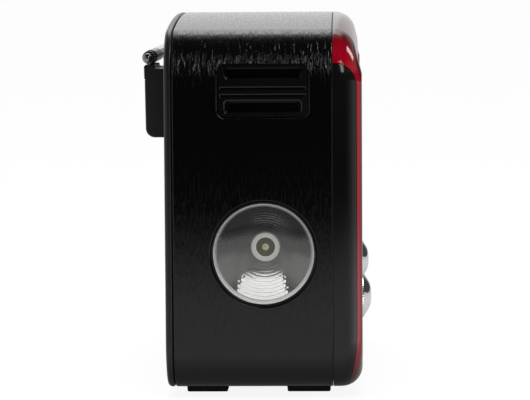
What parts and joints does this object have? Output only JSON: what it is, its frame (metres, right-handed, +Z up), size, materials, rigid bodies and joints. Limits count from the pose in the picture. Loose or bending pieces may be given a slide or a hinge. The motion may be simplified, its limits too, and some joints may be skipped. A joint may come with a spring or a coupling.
{
  "type": "emergency radio",
  "caption": "Table-top emergency radio with arched cabinet, red fascia, side torch, folding rear hand crank, rear battery door and telescopic aerial.",
  "frame": {"origin": "centre of the overall plan outline on the plane the feet stand on", "axes": "front faces -Y, +Z up, +X to the user's right; the torch is on the -X side"},
  "size_m": [0.22, 0.0989, 0.1643],
  "materials": {
    "cabinet_black_grain": "satin black with embossed wood grain",
    "cover_black": "satin",
    "rest_black": "satin",
    "frame_gloss_black": "gloss",
    "fascia_red": "high gloss",
    "grille_black": "matt",
    "basket_steel": "zinc plated",
    "cone_paper": "matt",
    "magnet_grey": "matt",
    "scale_cream": "satin",
    "window_clear": "clear",
    "pointer_orange": "satin",
    "knob_tuning_chrome": "polished",
    "knob_volume_chrome": "polished",
    "capacitor_white": "satin",
    "pot_metal": "satin",
    "switch_black": "satin",
    "button_torch_black": "satin",
    "button_siren_red": "satin",
    "bezel_black": "gloss",
    "lens_clear": "clear",
    "reflector_bright": "mirror",
    "led_board_white": "satin",
    "grip_left_black": "gloss",
    "grip_right_black": "gloss",
    "foot_rubber": "matt",
    "board_green": "satin",
    "tray_black": "matt",
    "cell_silver": "satin",
    "door_black": "satin",
    "ferrite_dark": "matt",
    "coil_copper": "enamelled wire",
    "dish_black": "satin",
    "hub_black": "satin",
    "arm_black": "satin",
    "crank_knob_red": "satin",
    "gear_white": "satin",
    "dynamo_steel": "satin",
    "rotor_steel": "satin",
    "swivel_chrome": "polished",
    "aerial_chrome_1": "polished",
    "aerial_chrome_2": "polished",
    "aerial_chrome_3": "polished",
    "aerial_tip_chrome": "polished",
    "screw_steel": "blackened"
  },
  "bodies": {
    "chassis": {"cabinet_shell": "cabinet_black_grain", "rear_cover": "cover_black", "antenna_rest": "rest_black", "front_frame": "frame_gloss_black", "front_fascia": "fascia_red", "speaker_grille": "grille_black", "speaker_basket": "basket_steel", "speaker_cone": "cone_paper", "speaker_magnet": "magnet_grey", "dial_scale": "scale_cream", "dial_window": "window_clear", "tuning_capacitor": "capacitor_white", "volume_pot": "pot_metal", "torch_bezel": "bezel_black", "torch_lens": "lens_clear", "torch_reflector": "reflector_bright", "torch_led_board": "led_board_white", "grip_insert_left": "grip_left_black", "grip_insert_right": "grip_right_black", "foot_front_left": "foot_rubber", "foot_front_right": "foot_rubber", "foot_rear_left": "foot_rubber", "foot_rear_right": "foot_rubber", "main_board": "board_green", "battery_tray": "tray_black", "battery_cell_1": "cell_silver", "battery_cell_2": "cell_silver", "ferrite_rod": "ferrite_dark", "ferrite_coil": "coil_copper", "crank_dish": "dish_black", "dynamo_housing": "dynamo_steel", "antenna_swivel": "swivel_chrome", "screw_1": "screw_steel", "screw_2": "screw_steel", "screw_3": "screw_steel", "screw_4": "screw_steel"},
    "tuning": {"tuning_knob": "knob_tuning_chrome"},
    "pointer": {"dial_pointer": "pointer_orange"},
    "volume": {"volume_knob": "knob_volume_chrome"},
    "band": {"band_switch": "switch_black"},
    "torch_key": {"torch_button": "button_torch_black"},
    "siren_key": {"siren_button": "button_siren_red"},
    "crank": {"crank_hub": "hub_black", "crank_gear": "gear_white"},
    "handle": {"crank_arm": "arm_black"},
    "handle_knob": {"crank_knob": "crank_knob_red"},
    "rotor": {"dynamo_rotor": "rotor_steel"},
    "mast_1": {"antenna_tube_1": "aerial_chrome_1"},
    "mast_2": {"antenna_tube_2": "aerial_chrome_2"},
    "mast_3": {"antenna_tube_3": "aerial_chrome_3"},
    "mast_4": {"antenna_tip": "aerial_tip_chrome"},
    "door": {"battery_door": "door_black"}
  },
  "joints": [
    {"name": "tuning_knob_turn", "type": "hinge", "parent": "chassis", "child": "tuning", "pos_m": [0.075, -0.0451, 0.0415], "axis": [0, 1, 0], "range_deg": [-135, 135]},
    {"name": "dial_pointer_slide", "type": "slide", "parent": "chassis", "child": "pointer", "axis": [1, 0, 0], "range_m": [-0.03, 0.03]},
    {"name": "volume_knob_turn", "type": "hinge", "parent": "chassis", "child": "volume", "pos_m": [-0.075, -0.0451, 0.0415], "axis": [0, 1, 0], "range_deg": [-135, 135]},
    {"name": "band_switch_slide", "type": "slide", "parent": "chassis", "child": "band", "axis": [1, 0, 0], "range_m": [0, 0.0074]},
    {"name": "torch_button_press", "type": "slide", "parent": "chassis", "child": "torch_key", "axis": [0, 1, 0], "range_m": [0, 0.0012], "stiffness_N_per_m": 400},
    {"name": "siren_button_press", "type": "slide", "parent": "chassis", "child": "siren_key", "axis": [0, 1, 0], "range_m": [0, 0.0012], "stiffness_N_per_m": 400},
    {"name": "crank_spin", "type": "hinge", "parent": "chassis", "child": "crank", "pos_m": [0.04, 0.0249, 0.074], "axis": [0, 1, 0], "continuous": true},
    {"name": "crank_arm_fold", "type": "hinge", "parent": "crank", "child": "handle", "pos_m": [0.04, 0.0365, 0.084], "axis": [1, 0, 0], "range_deg": [0, 165]},
    {"name": "crank_knob_spin", "type": "hinge", "parent": "handle", "child": "handle_knob", "pos_m": [0.04, 0.0289, 0.056], "axis": [0, 1, 0], "continuous": true},
    {"name": "dynamo_rotor_spin", "type": "hinge", "parent": "chassis", "child": "rotor", "pos_m": [0.0626, -0.0031, 0.074], "axis": [0, 1, 0], "continuous": true},
    {"name": "antenna_raise", "type": "hinge", "parent": "chassis", "child": "mast_1", "pos_m": [0.078, 0.0435, 0.147], "axis": [0.0183, 0.9998, 0], "range_deg": [0, 120]},
    {"name": "antenna_slide_2", "type": "slide", "parent": "mast_1", "child": "mast_2", "axis": [-0.9998, 0.0183, 0], "range_m": [0, 0.12]},
    {"name": "antenna_slide_3", "type": "slide", "parent": "mast_2", "child": "mast_3", "axis": [-0.9998, 0.0183, 0], "range_m": [0, 0.125]},
    {"name": "antenna_slide_4", "type": "slide", "parent": "mast_3", "child": "mast_4", "axis": [-0.9998, 0.0183, 0], "range_m": [0, 0.13]},
    {"name": "battery_door_open", "type": "hinge", "parent": "chassis", "child": "door", "pos_m": [-0.05, 0.0391, 0.0223], "axis": [-1, 0, 0], "range_deg": [0, 90]}
  ],
  "couplings": [
    {"joint": "dial_pointer_slide", "follows": "tuning_knob_turn", "m_per_rad": 0.0127},
    {"joint": "dynamo_rotor_spin", "follows": "crank_spin", "ratio": -3.4}
  ]
}
